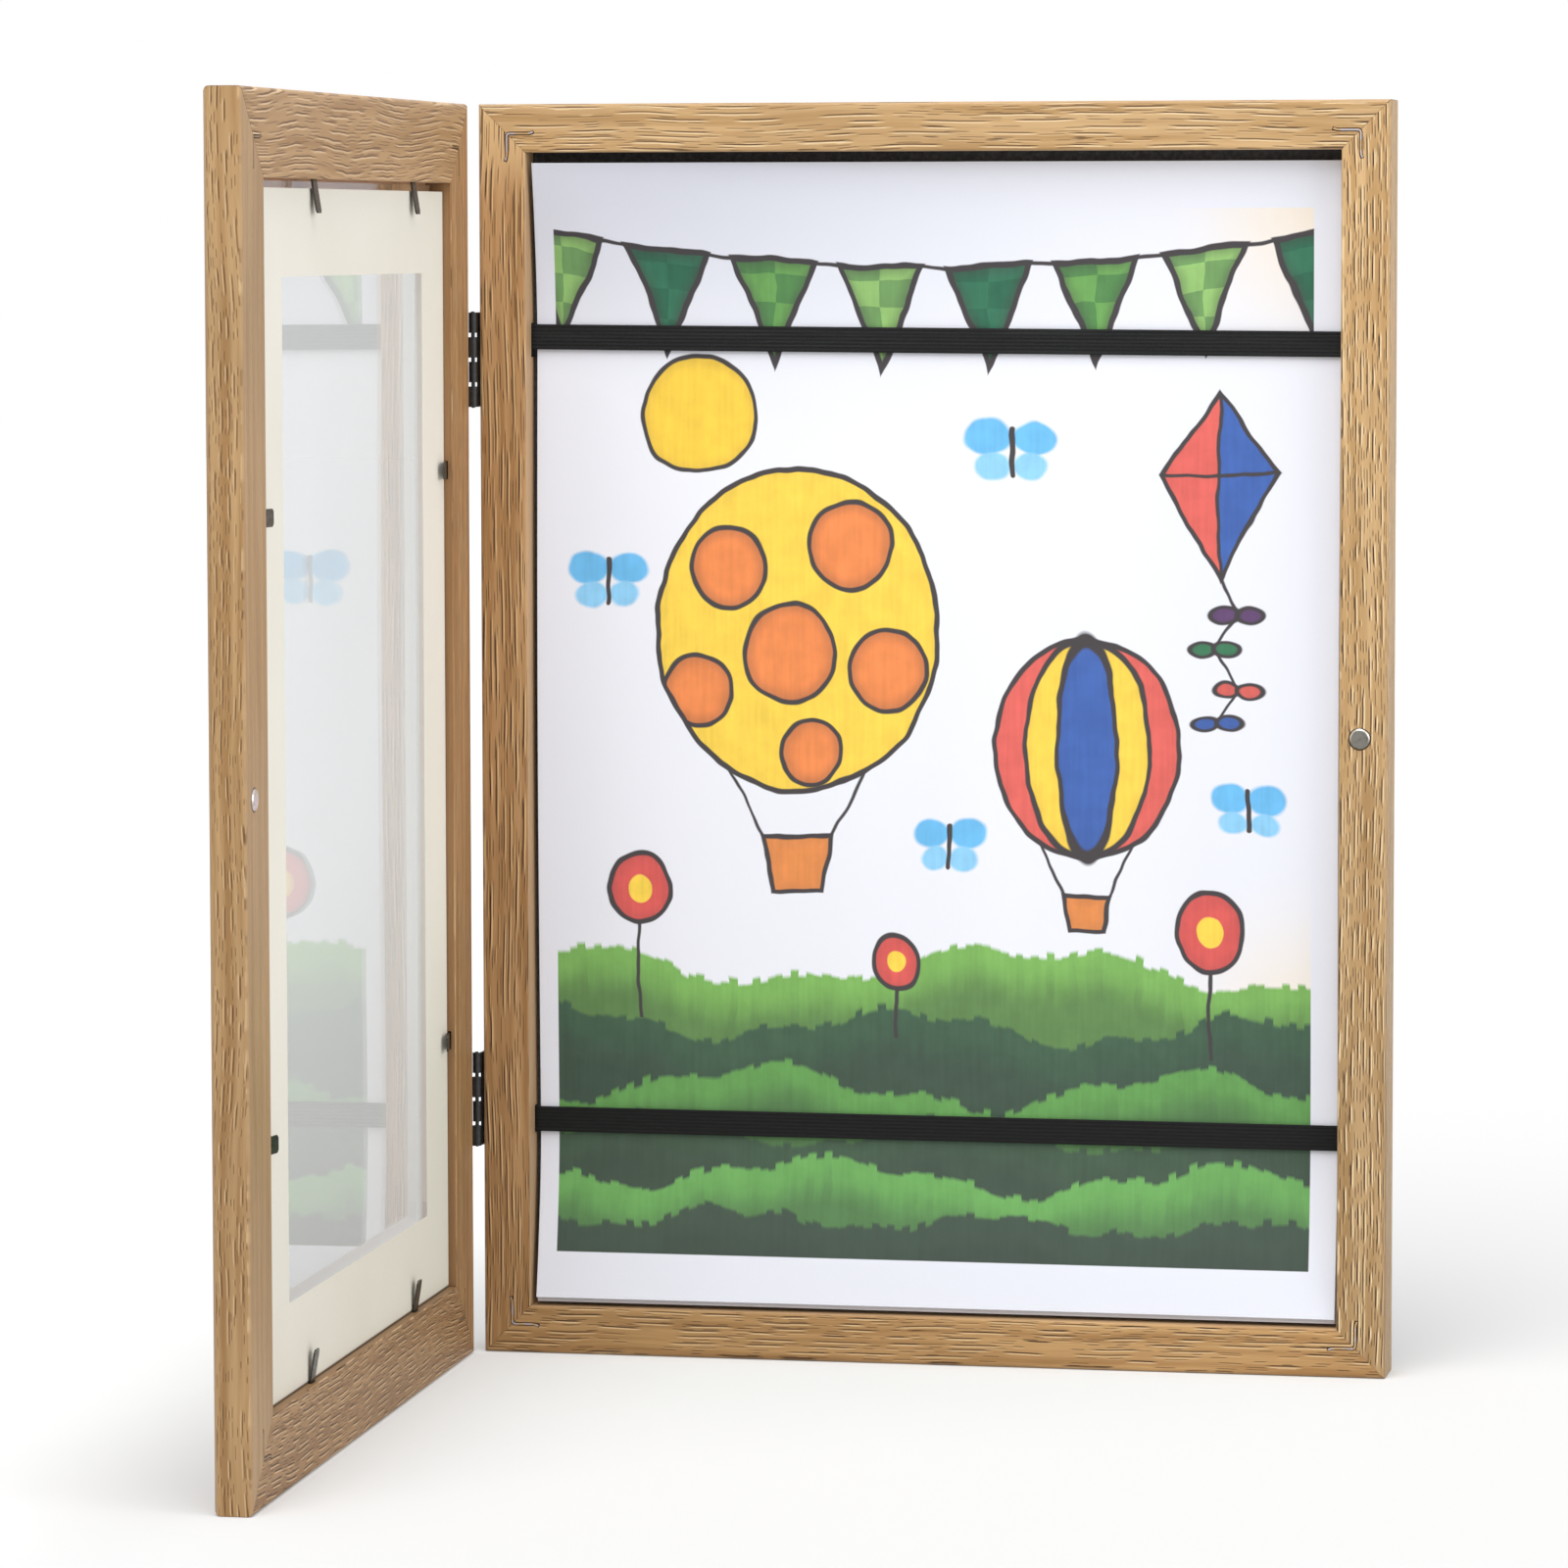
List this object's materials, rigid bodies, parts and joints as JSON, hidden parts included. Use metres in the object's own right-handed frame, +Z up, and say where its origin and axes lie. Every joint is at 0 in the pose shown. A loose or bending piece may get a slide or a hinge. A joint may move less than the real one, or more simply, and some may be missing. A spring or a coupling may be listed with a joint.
{
  "type": "front-opening art frame",
  "caption": "Oak-look picture frame standing open: a shallow case that stores drawing sheets behind elastic straps, and a glazed, matted door hinged on its left side.",
  "frame": {"origin": "middle of the underside of the case's bottom rail, on the surface that the frame stands on, with the case's depth centred on y = 0", "axes": "+Z up along the stiles, +Y towards the wall behind the case, +X to the right seen from the front; the door stands open towards -Y from the hinges on the case's left side"},
  "size_m": [0.2482, 0.2575, 0.326],
  "materials": {
    "oak": "embossed oak foil, satin",
    "back_board": "thin fibre board, matte black",
    "elastic": "ribbed woven elastic, matte black",
    "paper": "smooth drawing paper, matte white",
    "mat_board": "cream mat board, matte",
    "glazing": "clear, polished",
    "nickel": "nickel plated, polished",
    "zinc": "zinc plated, satin",
    "point_steel": "blackened spring steel, satin",
    "black_steel": "black, satin"
  },
  "bodies": {
    "case": {"case_rail_top": "oak", "case_rail_bottom": "oak", "case_stile_left": "oak", "case_stile_right": "oak", "back_board": "back_board", "strap_upper": "elastic", "strap_lower": "elastic", "sheet_stack": "paper", "spare_sheet": "paper", "artwork_sheet": "paper", "case_magnet": "nickel", "case_corner_nail_1": "zinc", "case_corner_nail_2": "zinc", "case_corner_nail_3": "zinc", "case_corner_nail_4": "zinc", "strap_staple_1": "zinc", "strap_staple_2": "zinc", "strap_staple_3": "zinc", "strap_staple_4": "zinc", "sawtooth_hanger_top": "zinc", "sawtooth_hanger_side": "zinc", "back_point_bottom_1": "point_steel", "back_point_right_1": "point_steel", "back_point_right_2": "point_steel", "back_point_top_1": "point_steel", "back_point_left_1": "point_steel", "back_point_left_2": "point_steel", "hinge_upper_case_leaf": "black_steel", "hinge_upper_case_screw_1": "black_steel", "hinge_upper_case_screw_2": "black_steel", "hinge_lower_case_leaf": "black_steel", "hinge_lower_case_screw_1": "black_steel", "hinge_lower_case_screw_2": "black_steel", "hinge_upper_pin": "black_steel", "hinge_lower_pin": "black_steel"},
    "door": {"door_rail_top": "oak", "door_rail_bottom": "oak", "door_stile_hinge": "oak", "door_stile_free": "oak", "mat_board": "mat_board", "glazing": "glazing", "door_magnet": "nickel", "door_corner_nail_1": "zinc", "door_corner_nail_2": "zinc", "door_corner_nail_3": "zinc", "door_corner_nail_4": "zinc", "mat_point_bottom_1": "point_steel", "mat_point_bottom_2": "point_steel", "mat_point_top_1": "point_steel", "mat_point_top_2": "point_steel", "mat_point_free_1": "point_steel", "mat_point_free_2": "point_steel", "mat_point_hinge_1": "point_steel", "mat_point_hinge_2": "point_steel", "hinge_upper_door_leaf": "black_steel", "hinge_upper_door_screw_1": "black_steel", "hinge_upper_door_screw_2": "black_steel", "hinge_lower_door_leaf": "black_steel", "hinge_lower_door_screw_1": "black_steel", "hinge_lower_door_screw_2": "black_steel"}
  },
  "joints": [
    {"name": "door_hinge", "type": "hinge", "parent": "case", "child": "door", "pos_m": [-0.11995, -0.0087, 0.163], "axis": [0, 0, -1], "range_deg": [-88.4, 91.6]}
  ]
}
